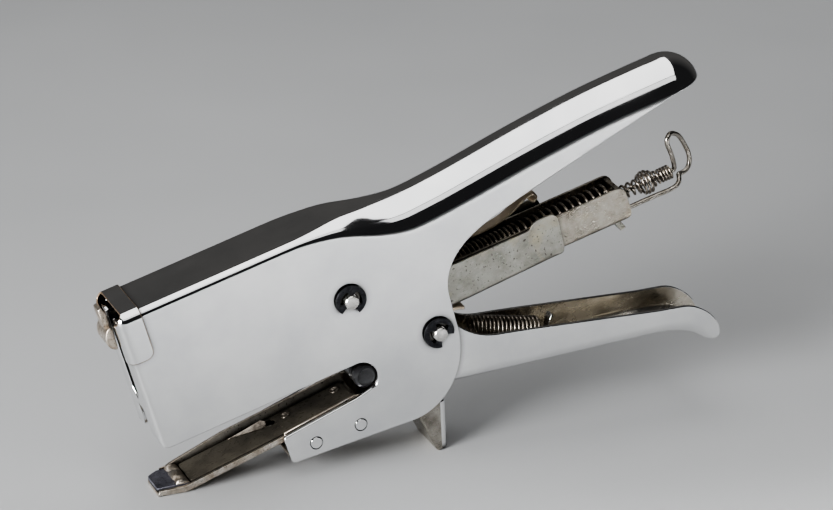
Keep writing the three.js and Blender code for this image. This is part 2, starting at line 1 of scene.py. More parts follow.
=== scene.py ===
"""Stapling plier: chromed pressed-steel shell and handle, worn nickel anvil arm, zinc-plated
magazine, wire springs and black snap rings, standing on a plain pale floor.

Pieces are drawn in millimetres in the tool frame, the same one that the CAD uses: x runs rearward
along the magazine, y across the tool (negative is the near side) and z away from the anvil.
"""

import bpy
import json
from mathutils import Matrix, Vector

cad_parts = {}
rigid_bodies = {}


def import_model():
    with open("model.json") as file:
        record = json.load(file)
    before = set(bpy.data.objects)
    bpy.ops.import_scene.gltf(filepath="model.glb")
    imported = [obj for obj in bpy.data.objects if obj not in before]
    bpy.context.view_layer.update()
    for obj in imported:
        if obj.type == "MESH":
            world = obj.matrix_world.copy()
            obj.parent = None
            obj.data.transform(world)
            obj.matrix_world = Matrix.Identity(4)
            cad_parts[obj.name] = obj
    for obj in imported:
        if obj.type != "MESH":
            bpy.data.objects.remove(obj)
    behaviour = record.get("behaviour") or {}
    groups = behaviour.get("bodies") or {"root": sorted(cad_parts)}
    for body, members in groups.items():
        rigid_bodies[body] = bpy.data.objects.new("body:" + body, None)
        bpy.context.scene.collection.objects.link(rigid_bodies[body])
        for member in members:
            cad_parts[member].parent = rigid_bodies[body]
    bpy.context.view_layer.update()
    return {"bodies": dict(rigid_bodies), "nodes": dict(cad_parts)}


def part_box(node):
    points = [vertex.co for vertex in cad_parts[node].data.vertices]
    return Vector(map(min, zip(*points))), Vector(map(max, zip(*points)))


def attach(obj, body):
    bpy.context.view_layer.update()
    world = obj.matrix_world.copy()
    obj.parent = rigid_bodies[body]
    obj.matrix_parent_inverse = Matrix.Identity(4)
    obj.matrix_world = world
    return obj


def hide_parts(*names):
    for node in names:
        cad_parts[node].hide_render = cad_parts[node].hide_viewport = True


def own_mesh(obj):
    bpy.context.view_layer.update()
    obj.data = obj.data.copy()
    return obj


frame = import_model()

import json
import math
import bisect

import bmesh
import bpy
from mathutils import Matrix, Vector
from mathutils.geometry import delaunay_2d_cdt

# ---- driving dimensions, mm
MM = 0.001
QUARTER = math.pi / 2
SIDES = (("near", -1), ("far", 1))      # and the sign of y there
TILT = math.radians(16)                 # magazine line above the floor
FRONT_PIN = Vector((61.6, 0, 33.8))
REAR_PIN = Vector((82.2, 0, 13.9))
PIN_RADIUS = 1.95
PIN_REACH = 11.4

SHELL_HALF = 9.4
SHELL_SHEET = 1.3
SHELL_FRONT = 1.2
SHELL_BEND = 2.0                        # radius of the head's edges
HANDLE_END = Vector((164.7, 0, 49.7))
HANDLE_RADIUS = SHELL_HALF
SLOT_HALF = 2.75

HEEL = Vector((4.5, 0, -1.1))
ARM_RISE = math.radians(3.3)
ARM_HALF = 6.7
SLEEVE_HALF = 6.5
CHANNEL_HALF = 5.2
LEVER_HALF = 7.8

ROD_Z = 25.0
COIL_Z = 25.8
CLIP_Y = 10.05                          # middle of the snap rings, from the tool's centre plane
LIMB_RIVETS = [(41.2, -1.7), (54.3, -2.2)]
LEAF_RIVETS = [33.6, 48.6]              # along the anvil arm
LEAF_TOP = 2.3                          # above the arm's underside
RIVET_Y = 2.6


def centre_of(node):
    low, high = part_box(node)
    return (Vector(low) + Vector(high)) / 2


LEVEL = Matrix.Rotation(-TILT, 4, "Y")
ORIGIN = centre_of("front_pin") - LEVEL @ (FRONT_PIN * MM)
TO_ROW = Matrix.Translation(ORIGIN) @ LEVEL @ Matrix.Scale(MM, 4)


def body_name(node):
    parent = frame["nodes"][node].parent
    return next(name for name, empty in frame["bodies"].items() if empty == parent)


# ---- outlines in two dimensions
def arc(x, z, radius, start, end, steps):
    """Points on a circle, from one angle to another, in degrees."""
    turns = [math.radians(start + (end - start) * i / steps) for i in range(steps + 1)]
    return [(x + radius * math.cos(a), z + radius * math.sin(a)) for a in turns]


def round_hole(x, z, radius, steps):
    return arc(x, z, radius, 0, 360, steps)[:-1]


def curve(*control, steps):
    """A quadratic or cubic Bezier curve, without its first point."""
    points = []
    for i in range(1, steps + 1):
        t = i / steps
        level = [Vector(p) for p in control]
        while len(level) > 1:
            level = [a.lerp(b, t) for a, b in zip(level, level[1:])]
        points.append(tuple(level[0]))
    return points


def drawn(*stretches):
    """An outline of points, and of lists [steps, control points, end] that curve on from the last."""
    points = []
    for stretch in stretches:
        if isinstance(stretch, list):
            points += curve(points[-1], *stretch[1:], steps=stretch[0])
        else:
            points.append(stretch)
    return points


def rounded(*corners, steps=5):
    """A closed outline whose corners (x, z, radius) are rounded."""
    points = []
    for i, (x, z, radius) in enumerate(corners):
        here = Vector((x, z))
        before = Vector(corners[i - 1][:2]) - here
        after = Vector(corners[(i + 1) % len(corners)][:2]) - here
        if radius == 0:
            points.append((x, z))
            continue
        half_angle = before.angle(after) / 2
        reach = radius / math.tan(half_angle)
        start = here + before.normalized() * reach
        end = here + after.normalized() * reach
        points.append(tuple(start))
        points += curve(start, here, end, steps=steps)
    return points


def dense(points, step, closed=True):
    """The same polyline with no edge longer than step."""
    result = []
    pairs = zip(points, points[1:] + points[:1]) if closed else zip(points, points[1:])
    for a, b in pairs:
        count = max(1, math.ceil((Vector(b) - Vector(a)).length / step))
        result += [tuple(Vector(a).lerp(Vector(b), i / count)) for i in range(count)]
    return result if closed else result + [tuple(points[-1])]


def inset(loop, depth, on_seam=lambda a, b: False):
    """Moves each edge of a counter-clockwise loop inward by depth, and leaves seam edges alone."""
    edges = []
    corners = [Vector(p) for p in loop]
    for a, b in zip(corners, corners[1:] + corners[:1]):
        along = (b - a).normalized()
        shift = Vector((-along.y, along.x)) * (0 if on_seam(a, b) else depth)
        edges.append((a + shift, b + shift, along))
    moved = []
    for (_, end, before), (start, _, after) in zip(edges[-1:] + edges[:-1], edges):
        cross = before.cross(after)
        nearly_straight = abs(cross) <= 0.08
        reach = math.inf if nearly_straight else (start - end).cross(after) / cross
        meets = abs(reach) < 3 * depth
        moved.append(tuple(end + before * reach if meets else (end + start) / 2))
    return moved


def inside(point, loop):
    x, z = point
    hit = False
    for (x0, z0), (x1, z1) in zip(loop, loop[1:] + loop[:1]):
        if (z0 > z) != (z1 > z) and x < x0 + (z - z0) * (x1 - x0) / (z1 - z0):
            hit = not hit
    return hit


# ---- skins and sheet metal
class Skin:
    """A surface: points in mm in the tool frame, with an outward normal each, and faces."""

    def __init__(self):
        self.points = []
        self.normals = []
        self.faces = []
        self.index = {}
        self.inner = range(0)
        self.rim = range(0)

    def vertex(self, point, normal):
        key = tuple(round(c, 3) for c in point)
        if key in self.index:
            self.normals[self.index[key]] += normal
            return self.index[key]
        self.index[key] = len(self.points)
        self.points.append(Vector(point))
        self.normals.append(Vector(normal))
        return self.index[key]

    def face(self, *corners):
        corners = [c for i, c in enumerate(corners) if c != corners[i - 1]]
        if len(set(corners)) > 2:
            self.faces.append(tuple(corners))

    def grid(self, rows):
        """Quads between rows of (point, normal), counter-clockwise from outside."""
        names = [[self.vertex(*spot) for spot in row] for row in rows]
        for low, high in zip(names, names[1:]):
            for i in range(len(low) - 1):
                self.face(low[i], low[i + 1], high[i + 1], high[i])

    def pattern(self, loops, place, spots=()):
        """Fills the first loop, less the other loops, and bends it into space with place(u, v)."""
        def filled(point):
            return inside(point, loops[0]) and not any(inside(point, hole) for hole in loops[1:])

        flat = []
        edges = []
        for loop in loops:
            first = len(flat)
            flat += [Vector(p) for p in loop]
            edges += [(first + i, first + (i + 1) % len(loop)) for i in range(len(loop))]
        flat += [Vector(p) for p in spots if filled(p)]
        points, _, faces, *_ = delaunay_2d_cdt(flat, edges, [], 0, 1e-5)
        names = [self.vertex(*surface_at(place, *p)) for p in points]
        for face in faces:
            if filled(sum((points[i] for i in face), Vector((0, 0))) / len(face)):
                a, b, c = (points[i] for i in face[:3])
                turn = (b - a).cross(c - b)
                self.face(*[names[i] for i in (face if turn > 0 else reversed(face))])

    def mirrored(self):
        """Adds the other half, across the tool's centre plane."""
        flip = Vector((1, -1, 1))
        names = [self.vertex(p * flip, n * flip)
                 for p, n in zip(list(self.points), [Vector(n) for n in self.normals])]
        self.faces += [tuple(names[i] for i in reversed(face)) for face in list(self.faces)]
        return self

    def thickened(self, sheet, round_off, steps=3):
        """Gives the open surface a thickness inward, with rounded edges."""
        normals = [n.normalized() for n in self.normals]
        edges = dict.fromkeys(edge for face in self.faces for edge in zip(face, face[1:] + face[:1]))
        rim = [(a, b) for a, b in edges if (b, a) not in edges]
        outward = {}
        for a, b in rim:
            along = (self.points[b] - self.points[a]).normalized()
            for end in (a, b):
                sideways = along.cross(normals[end])
                outward[end] = outward.get(end, Vector()) + sideways.normalized()
        solid = Skin()
        solid.points = [Vector(p) for p in self.points]
        solid.normals = [Vector(n) for n in normals]
        solid.faces = list(self.faces)
        count = len(self.points)
        solid.points += [p - n * sheet for p, n in zip(self.points, normals)]
        solid.normals += [-n for n in normals]
        solid.inner = range(len(solid.faces), 2 * len(solid.faces))
        solid.faces += [tuple(i + count for i in reversed(face)) for face in self.faces]
        ring = {}
        for i, side in outward.items():
            side = side.normalized()
            names = [i]
            turns = [QUARTER * k / steps for k in range(1, steps + 1)]
            for sign, turn in [(1, t) for t in turns] + [(-1, t) for t in turns[::-1]]:
                drop = round_off * (1 - math.cos(turn))
                depth = drop if sign > 0 else sheet - drop
                names.append(len(solid.points))
                solid.points.append(self.points[i] + side * round_off * math.sin(turn)
                                    - normals[i] * depth)
                solid.normals.append(side * math.sin(turn) + normals[i] * sign * math.cos(turn))
            ring[i] = names + [i + count]
        for a, b in rim:
            for k in range(len(ring[a]) - 1):
                solid.faces.append((ring[b][k], ring[a][k], ring[a][k + 1], ring[b][k + 1]))
        solid.rim = range(solid.inner.stop, len(solid.faces))
        return solid


def patch(loops, place, spots=()):
    """A skin with one pattern in it."""
    skin = Skin()
    skin.pattern(loops, place, spots)
    return skin


def surface_at(place, u, v):
    """The point place(u, v) and the surface's normal there."""
    step = 0.02
    across = place(u + step, v) - place(u - step, v)
    up = place(u, v + step) - place(u, v - step)
    return place(u, v), across.cross(up).normalized()


def linked(name, data):
    """A new object in the scene."""
    obj = bpy.data.objects.new(name, data)
    bpy.context.scene.collection.objects.link(obj)
    return obj


def new_piece(name, points, faces, node, material):
    """A smooth piece from points in mm, on the body of the CAD node that it stands for."""
    mesh = bpy.data.meshes.new(name)
    mesh.from_pydata([TO_ROW @ Vector(p) for p in points], [], faces)
    mesh.polygons.foreach_set("use_smooth", [True] * len(mesh.polygons))
    mesh.materials.append(material)
    obj = linked(name, mesh)
    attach(obj, body_name(node))
    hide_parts(node)
    return obj


def skin_piece(name, skin, node, material, lining=None, edging=None):
    """A piece from a skin; lining and edging finish its inner face and its edges, if they differ."""
    obj = new_piece(name, skin.points, skin.faces, node, material)
    mesh = obj.data
    turn = LEVEL.to_3x3()
    mesh.normals_split_custom_set_from_vertices([(turn @ n).normalized() for n in skin.normals])
    for other, faces in [(lining, skin.inner), (edging, skin.rim)]:
        if other:
            mesh.materials.append(other)
            for i in faces:
                mesh.polygons[i].material_index = len(mesh.materials) - 1
    return obj


def ring_piece(name, rings, node, material, sharp):
    """A piece through closed rings of points, capped, with edges beyond sharp degrees kept sharp."""
    count = len(rings[0])
    points = [p for ring in rings for p in ring]
    faces = [tuple(range(count))[::-1], tuple(range(len(points) - count, len(points)))]
    for row in range(0, len(points) - count, count):
        for k in range(count):
            a, b = row + k, row + (k + 1) % count
            faces.append((a, b, b + count, a + count))
    obj = new_piece(name, points, faces, node, material)
    obj.data.set_sharp_from_angle(angle=math.radians(sharp))
    return obj


def channel(base, near, far, half, bend, sheet, round_off=0.2, holes=()):
    """A folded channel: base is its underside in side view, near and far close the two walls.

    base runs from left to right with the metal above it; near and far run back from its end.
    The radius of its folds, bend, is one number, or one for each point of the base.
    """
    base = [Vector(p) for p in base]
    bends = bend if isinstance(bend, list) else [bend] * len(base)
    outward = []
    for i in range(len(base)):
        along = (base[min(i + 1, len(base) - 1)] - base[max(i - 1, 0)]).normalized()
        outward.append(Vector((along.y, -along.x)))
    raised = [b - n * radius for b, n, radius in zip(base, outward, bends)]
    skin = Skin()
    for side, top in ((-1, near), (1, far)):
        loop = [tuple(p) for p in raised] + [tuple(p) for p in top]
        on_fold = {tuple(round(c, 4) for c in p) for p in raised}

        def folded(a, b):
            return all(tuple(round(c, 4) for c in p) in on_fold for p in (a, b))

        loop = inset(loop, round_off, folded)
        wall = patch([loop, *holes], lambda u, v: Vector((u, -half, v)))
        for face in wall.faces:
            names = [skin.vertex(wall.points[i] * Vector((1, -side, 1)), Vector((0, side, 0)))
                     for i in face]
            skin.face(*(names if side < 0 else reversed(names)))
    rows = []
    fold = [QUARTER * k / 6 for k in range(7)]
    for side in (-1, 1):
        for turn in fold if side < 0 else fold[::-1]:
            row = []
            for p, n, radius in zip(raised, outward, bends):
                away = Vector((n.x * math.sin(turn), side * math.cos(turn), n.y * math.sin(turn)))
                centre = Vector((p.x, side * (half - radius), p.y))
                row.append((centre + away * radius, away))
            rows.append(row)
    skin.grid(rows[::-1])
    return skin.thickened(sheet, round_off)


def tapered(bend, count, last):
    """Fold radii for count points of a base, falling to the least over the last few."""
    least = 0.4
    shares = [min(1, (count - 1 - i) / last) for i in range(count)]
    return [least + (bend - least) * math.sin(share * QUARTER) for share in shares]


def along_path(path):
    """Turns a side-view path into place(s, y): s runs along it, y across the tool."""
    path = [Vector(p) for p in path]
    lengths = [0]
    for a, b in zip(path, path[1:]):
        lengths.append(lengths[-1] + (b - a).length)

    def place(s, y):
        i = min(max(bisect.bisect(lengths, s) - 1, 0), len(path) - 2)
        spot = path[i].lerp(path[i + 1], (s - lengths[i]) / (lengths[i + 1] - lengths[i]))
        return Vector((spot.x, y, spot.y))

    return place, lengths


def strip(points, y0, y1, sheet, round_off, corner):
    """A flat strip whose upper face bends smoothly through points of the side view."""
    path = [p.to_2d() for p in smooth_path([(x, z, 0) for x, z in points], 5)]
    place, lengths = along_path(path)
    end = lengths[-1]
    loop = rounded((0, y0, corner), (end, y0, corner), (end, y1, corner), (0, y1, corner), steps=4)
    loop = inset(dense(loop, 2.0), round_off)
    spots = [(s, y0 + (y1 - y0) * k / 4) for s in lengths[1:-1] for k in (1, 2, 3)]
    spots += [(s, y) for s in lengths[1:-1] for y in (y0 + round_off * 1.5, y1 - round_off * 1.5)]
    return patch([loop], place, spots).thickened(sheet, round_off)


def slab(outline, y0, y1, round_off):
    """A thick plate lying in side view, from y0 (near) to y1, with rounded edges."""
    skin = patch([inset(outline, round_off)], lambda u, v: Vector((u, y0, v)))
    return skin.thickened(y1 - y0, round_off, steps=4)


# ---- turned and wire pieces
def circle(centre, across, other, radius, sides):
    turns = [2 * math.pi * k / sides for k in range(sides)]
    return [centre + (across * math.cos(t) + other * math.sin(t)) * radius for t in turns]


def turned_piece(name, profile, centre, axis, sides, node, material, sharp=60):
    """A turned piece: profile is (distance along axis, radius)."""
    axis = Vector(axis).normalized()
    across = axis.orthogonal().normalized()
    rings = [circle(Vector(centre) + axis * distance, across, axis.cross(across), radius, sides)
             for distance, radius in profile]
    ring_piece(name, rings, node, material, sharp)


def both_ends(half):
    """The profile of a piece whose two ends are alike."""
    return [(-distance, radius) for distance, radius in reversed(half)] + half


def wire_piece(name, path, radius, sides, node, material):
    """A round wire along a path, with slightly rounded ends."""
    path = [Vector(p) for p in path]
    first = (path[1] - path[0]).normalized()
    last = (path[-1] - path[-2]).normalized()
    path = [path[0] - first * radius * 0.4] + path + [path[-1] + last * radius * 0.4]
    widths = [radius * 0.6] + [radius] * (len(path) - 2) + [radius * 0.6]
    across = first.orthogonal().normalized()
    rings = []
    for spot, width, before, after in zip(path, widths, path[:1] + path, path[1:] + path[-1:]):
        along = (after - before).normalized()
        across = (across - along * across.dot(along)).normalized()
        rings.append(circle(spot, across, along.cross(across), width, sides))
    return ring_piece(name, rings, node, material, 60)


def between(table, at):
    """Reads a table of (place, value) pairs, straight from one to the next."""
    i = min(max(k for k, row in enumerate(table) if row[0] <= at), len(table) - 2)
    (a, low), (b, high) = table[i], table[i + 1]
    return low + (high - low) * (at - a) / (b - a)


def coil(start, end, turns, radius_at, steps, pitch_at=lambda t: t):
    """The centre line of a coil spring between two points, its radius given along it."""
    start, end = Vector(start), Vector(end)
    along = (end - start).normalized()
    across = Vector((0, 1, 0))
    other = along.cross(across)
    path = []
    for i in range(int(turns * steps) + 1):
        t = i / (turns * steps)
        turn = 2 * math.pi * turns * t
        swing = (across * math.cos(turn) + other * math.sin(turn)) * radius_at(t)
        path.append(start.lerp(end, pitch_at(t)) + swing)
    return path


def smooth_path(points, steps):
    """A Catmull-Rom curve through the points."""
    points = [Vector(p) for p in points]
    points = [points[0] * 2 - points[1]] + points + [points[-1] * 2 - points[-2]]
    path = []
    for a, b, c, d in zip(points, points[1:], points[2:], points[3:]):
        for i in range(steps):
            t = i / steps
            path.append(0.5 * (2 * b + (c - a) * t + (2 * a - 5 * b + 4 * c - d) * t * t
                               + (3 * b - a - 3 * c + d) * t ** 3))
    return path + [points[-2]]


# ---- materials
class Nodes:
    """A node tree: keyword arguments fill sockets with a value or with another node's output."""

    def __init__(self, tree):
        self.tree = tree

    def node(self, kind, **inputs):
        made = self.tree.nodes.new(kind)
        for name, value in inputs.items():
            self.set(made, name, value)
        return made

    def set(self, node, name, value):
        socket = node.inputs[name]
        if isinstance(value, bpy.types.NodeSocket):
            self.tree.links.new(value, socket)
        else:
            socket.default_value = value

    def ramp(self, fac, *stops):
        """Maps a value through (position, grey or colour) stops."""
        ramp = self.node("ShaderNodeValToRGB", Fac=fac)
        band = ramp.color_ramp
        while len(band.elements) < len(stops):
            band.elements.new(0.5)
        for element, (position, value) in zip(band.elements, stops):
            element.position = position
            color = value if isinstance(value, tuple) else (value, value, value)
            element.color = (*color, 1)
        return ramp.outputs["Color"]


class Finish(Nodes):
    """A material whose nodes are laid out along the tool, in millimetres."""

    def __init__(self, name, color, roughness, metallic=1.0):
        self.material = bpy.data.materials.new(name)
        self.material.use_nodes = True
        super().__init__(self.material.node_tree)
        self.shader = self.tree.nodes["Principled BSDF"]
        self.color((*color, 1))
        self.roughness(roughness)
        self.set(self.shader, "Metallic", metallic)
        place = self.node("ShaderNodeTexCoord").outputs["Object"]
        self.place = self.mapped(place, Rotation=(0, TILT, 0), Scale=(1 / MM, 1 / MM, 1 / MM))

    def mapped(self, place, **change):
        return self.node("ShaderNodeMapping", Vector=place, **change).outputs["Vector"]

    def noise(self, scale, detail, roughness=0.55, stretch=(1, 1, 1), distortion=0, place=None):
        """Noise with features about scale mm across, drawn out along the tool's axes."""
        place = self.mapped(place or self.place, Scale=[1 / (scale * s) for s in stretch])
        noise = self.node("ShaderNodeTexNoise", Vector=place, Scale=1, Detail=detail,
                          Roughness=roughness, Distortion=distortion)
        return noise.outputs["Fac"]

    def blend(self, fac, a, b, kind="MIX"):
        mix = self.tree.nodes.new("ShaderNodeMix")
        mix.data_type = "RGBA"
        mix.blend_type = kind
        for index, value in ((0, fac), (6, a), (7, b)):
            self.set(mix, index, (*value, 1) if isinstance(value, tuple) else value)
        return mix.outputs[2]

    def color(self, value):
        self.set(self.shader, "Base Color", value)

    def roughness(self, value):
        self.set(self.shader, "Roughness", value)

    def bump(self, height, strength, depth):
        """Adds relief: depth is in mm."""
        bump = self.node("ShaderNodeBump", Height=height, Strength=strength,
                         Distance=depth * MM)
        under = self.shader.inputs["Normal"].links
        if under:
            self.set(bump, "Normal", under[0].from_socket)
        self.set(self.shader, "Normal", bump.outputs["Normal"])

    def painted_shade(self, tone, reach, dark):
        """Paints shade into a colour: darker in crevices and beside neighbours nearer than reach, in
        mm, from ambient occlusion.
        """
        shade = self.node("ShaderNodeAmbientOcclusion", Distance=reach * MM)
        shade.samples = 8
        return self.blend(self.ramp(shade.outputs["AO"], (0.55, 0.0), (0.96, 1.0)), dark, tone)

    def scratches(self, width, length, turn, amount):
        """Fine hairlines, one way, as a mask that is 1 on a scratch."""
        place = self.mapped(self.place, Rotation=(0.3, turn, 0.2))
        lines = self.noise(1, 2, 0.5, (length, width, width), place=place)
        return self.ramp(lines, (1 - amount, 0), (1 - amount + 0.03, 1))


def chrome():
    """Bright plating with a faint ripple in the pressed sheet, hairlines and finger haze."""
    f = Finish("chrome_plate", (0.84, 0.845, 0.85), 0.06)
    haze = f.ramp(f.noise(22, detail=5), (0.32, (0.74, 0.75, 0.76)), (0.68, (0.92, 0.92, 0.915)))
    # painted shade: the haze colour is darkened by ambient occlusion in crevices and beside
    # neighbouring parts
    f.color(f.painted_shade(haze, 2.2, (0.04, 0.037, 0.033)))
    lines = f.blend(1.0, f.scratches(0.05, 9, 0.15, 0.31), f.scratches(0.05, 6, 1.1, 0.29), "ADD")
    smear = f.ramp(f.noise(11, detail=6, stretch=(2.2, 1, 0.7)), (0.42, 0.05), (0.75, 0.16))
    f.roughness(f.blend(0.12, smear, lines, "ADD"))
    f.bump(f.noise(14, detail=2), 0.08, 0.25)
    f.bump(lines, 0.04, 0.02)
    return f.material


def plated(name, light, dark, rough, speck, stain=(0.42, 0.36, 0.26), length=5):
    """Dull plating on stamped steel: grain, dark specks, rub marks and warm stains."""
    f = Finish(name, light, rough)
    cloud = f.ramp(f.noise(7, detail=7, roughness=0.65), (0.35, dark), (0.62, light))
    warm = f.ramp(f.noise(9, detail=5, distortion=0.6), (0.55, 0.0), (0.74, 0.55))
    tone = f.blend(warm, cloud, stain)
    specks = f.ramp(f.noise(0.8, detail=3, roughness=0.6), (speck, 1.0), (speck + 0.04, 0.0))
    tone = f.blend(specks, tone, (0.06, 0.05, 0.045))
    lines = f.scratches(0.09, length, 0.5, 0.34)
    tone = f.blend(f.ramp(lines, (0, 0.0), (1, 0.35)), tone, (0.66, 0.64, 0.60))
    # painted shade: the plating's colour is darkened by ambient occlusion in crevices and beside
    # neighbouring parts
    f.color(f.painted_shade(tone, 2.0, (0.04, 0.033, 0.026)))
    grain = f.noise(0.35, detail=3, roughness=0.7, stretch=(2.5, 1, 1))
    f.roughness(f.blend(0.35, f.ramp(grain, (0.3, rough - 0.08), (0.7, rough + 0.14)), cloud))
    f.bump(grain, 0.25, 0.04)
    f.bump(specks, 0.3, -0.05)
    return f.material


def worn_nickel():
    """Browned plating rubbed bright in patches, with a fine pitted skin."""
    f = Finish("worn_nickel", (0.42, 0.37, 0.31), 0.34)
    cloud = f.noise(3.2, detail=8, roughness=0.7)
    tone = f.ramp(cloud, (0.32, (0.26, 0.215, 0.17)), (0.5, (0.52, 0.46, 0.39)),
                  (0.68, (0.80, 0.76, 0.70)))
    pits = f.ramp(f.noise(0.5, detail=4, roughness=0.7), (0.34, 1.0), (0.42, 0.0))
    f.color(f.blend(pits, tone, (0.05, 0.04, 0.032)))
    f.roughness(f.ramp(cloud, (0.35, 0.5), (0.7, 0.22)))
    f.bump(f.noise(0.45, detail=5, roughness=0.7), 0.35, 0.06)
    f.bump(pits, 0.4, -0.05)
    return f.material


def steel(name, light, dark, rough, grain, metallic=1.0):
    """Plain worked steel: drawn grain, tone from light to dark and polish on the high spots."""
    f = Finish(name, light, rough, metallic)
    cloud = f.noise(grain * 3, detail=6, roughness=0.65)
    f.color(f.ramp(cloud, (0.34, dark), (0.66, light)))
    lines = f.noise(grain * 0.25, detail=4, roughness=0.6, stretch=(3, 1, 1))
    f.roughness(f.ramp(lines, (0.3, max(rough - 0.1, 0.05)), (0.72, rough + 0.16)))
    f.bump(lines, 0.3, 0.03)
    return f.material


CHROME = chrome()
ZINC = plated("zinc_sleeve", (0.34, 0.333, 0.30), (0.20, 0.195, 0.172), 0.34, 0.34,
              (0.38, 0.33, 0.22))
ZINC_RUBBED = plated("zinc_channel", (0.37, 0.345, 0.30), (0.18, 0.16, 0.13), 0.30, 0.27,
                     length=12)
ARM_INSIDE = plated("arm_inside", (0.80, 0.77, 0.72), (0.48, 0.45, 0.40), 0.42, 0.34)
NICKEL = worn_nickel()
BLUED = steel("blued_tip", (0.20, 0.20, 0.235), (0.085, 0.085, 0.105), 0.3, 1.6, 0.75)
LEAF = steel("brown_leaf", (0.072, 0.064, 0.050), (0.034, 0.030, 0.024), 0.32, 2.0, 0.35)
BRIGHT = steel("bright_steel", (0.72, 0.71, 0.69), (0.46, 0.45, 0.43), 0.2, 0.8)
DARK = steel("dark_steel", (0.20, 0.185, 0.165), (0.07, 0.062, 0.052), 0.38, 1.6)
SPRING = steel("spring_wire", (0.40, 0.36, 0.31), (0.14, 0.12, 0.10), 0.26, 0.8)
RUBBER = steel("black_roller", (0.03, 0.03, 0.032), (0.015, 0.015, 0.016), 0.16, 1.0, 0.2)
BLACK = steel("black_oxide", (0.035, 0.036, 0.04), (0.012, 0.012, 0.014), 0.3, 1.0, 0.9)
BRONZE = steel("bronze_steel", (0.86, 0.74, 0.58), (0.58, 0.48, 0.36), 0.42, 1.2, 0.7)
FOOT = steel("foot_steel", (0.48, 0.455, 0.41), (0.19, 0.175, 0.15), 0.3, 1.6)
LINING = steel("inner_face", (0.75, 0.71, 0.63), (0.52, 0.48, 0.41), 0.2, 14.0)
WORN_EDGE = steel("worn_edge", (0.40, 0.30, 0.21), (0.13, 0.095, 0.07), 0.32, 0.9, 0.8)
WIRE = steel("wire_steel", (0.50, 0.47, 0.43), (0.24, 0.215, 0.18), 0.22, 0.8)

# ---- shell and handle
RIDGE = [(SHELL_FRONT, 56), (30, 56), (58, 56), (66, 55.8), (75, 54.4), (84, 53.5), (93, 53.9),
         (102, 54.8), (122, 57.1), (142, 58.7), (HANDLE_END.x, 59.1), (180, 59.1)]
BEND_AT = SHELL_FRONT + SHELL_BEND
NECK = 50, 86                           # where the head's small edge radius grows to a half round


def ridge(x):
    """Height of the shell's centre line."""
    i = min(max(bisect.bisect([p[0] for p in RIDGE], x) - 1, 0), len(RIDGE) - 2)
    (x0, z0), (x1, z1) = RIDGE[i], RIDGE[i + 1]

    def slope(k):
        a, b = RIDGE[max(k - 1, 0)], RIDGE[min(k + 1, len(RIDGE) - 1)]
        return (b[1] - a[1]) / (b[0] - a[0])

    t = (x - x0) / (x1 - x0)
    run = x1 - x0
    return ((2 * t ** 3 - 3 * t * t + 1) * z0 + (t ** 3 - 2 * t * t + t) * run * slope(i)
            + (3 * t * t - 2 * t ** 3) * z1 + (t ** 3 - t * t) * run * slope(i + 1))


def edge_radius(x):
    """Radius between the shell's side and top: small on the head, the whole half width behind."""
    t = min(max((x - NECK[0]) / (NECK[1] - NECK[0]), 0), 1)
    return SHELL_BEND + (SHELL_HALF - SHELL_BEND) * t * t * (3 - 2 * t)


def shell_place(u, v):
    """Bends the near half of the shell's flat pattern: u along the tool, v up and over its top."""
    if u < BEND_AT:
        turn = (BEND_AT - u) / SHELL_BEND
        bent = min(turn, QUARTER)
        inward = 1 - math.cos(bent) + turn - bent
        return Vector((BEND_AT - SHELL_BEND * math.sin(bent), -SHELL_HALF + SHELL_BEND * inward, v))
    if u > HANDLE_END.x:
        lean = (u - HANDLE_END.x) / HANDLE_RADIUS
        turn = (v - HANDLE_END.z) / HANDLE_RADIUS
        return HANDLE_END + HANDLE_RADIUS * Vector((
            math.sin(lean), -math.cos(lean) * math.cos(turn), math.cos(lean) * math.sin(turn)))
    radius = edge_radius(u)
    start = ridge(u) - radius
    turn = (v - start) / radius
    bent = min(max(turn, 0), QUARTER)
    inward = 1 - math.cos(bent) + max(turn - QUARTER, 0)
    return Vector((u, -SHELL_HALF + radius * inward, min(v, start) + radius * math.sin(bent)))


def shell_crest(u):
    """Where the pattern reaches the centre plane."""
    if u > HANDLE_END.x:
        return HANDLE_END.z + HANDLE_RADIUS * QUARTER
    radius = edge_radius(u)
    return ridge(u) + radius * (QUARTER - 2) + SHELL_HALF


def shell_unbend(x, z):
    """The pattern's point for a point of the side view."""
    if x > HANDLE_END.x:
        lean = math.asin((x - HANDLE_END.x) / HANDLE_RADIUS)
        turn = math.asin(min(1, (z - HANDLE_END.z) / (HANDLE_RADIUS * math.cos(lean))))
        return HANDLE_END.x + HANDLE_RADIUS * lean, HANDLE_END.z + HANDLE_RADIUS * turn
    radius = edge_radius(x)
    start = ridge(x) - radius
    if z <= start:
        return x, z
    return x, start + radius * math.asin(min(1, (z - start) / radius))


def front_u(y):
    """The pattern's u for a distance from the centre plane on the front face."""
    return BEND_AT - SHELL_BEND * QUARTER - (SHELL_HALF - SHELL_BEND - y)


HANDLE_RIM = (162.9, 50.7)              # end of the handle's curved lower edge
RIM_SLOPE = 0.1656                      # and how steeply it climbs from there to the rounded end
HANDLE_TIP_Z = HANDLE_RIM[1] + RIM_SLOPE * (HANDLE_END.x - HANDLE_RIM[0])


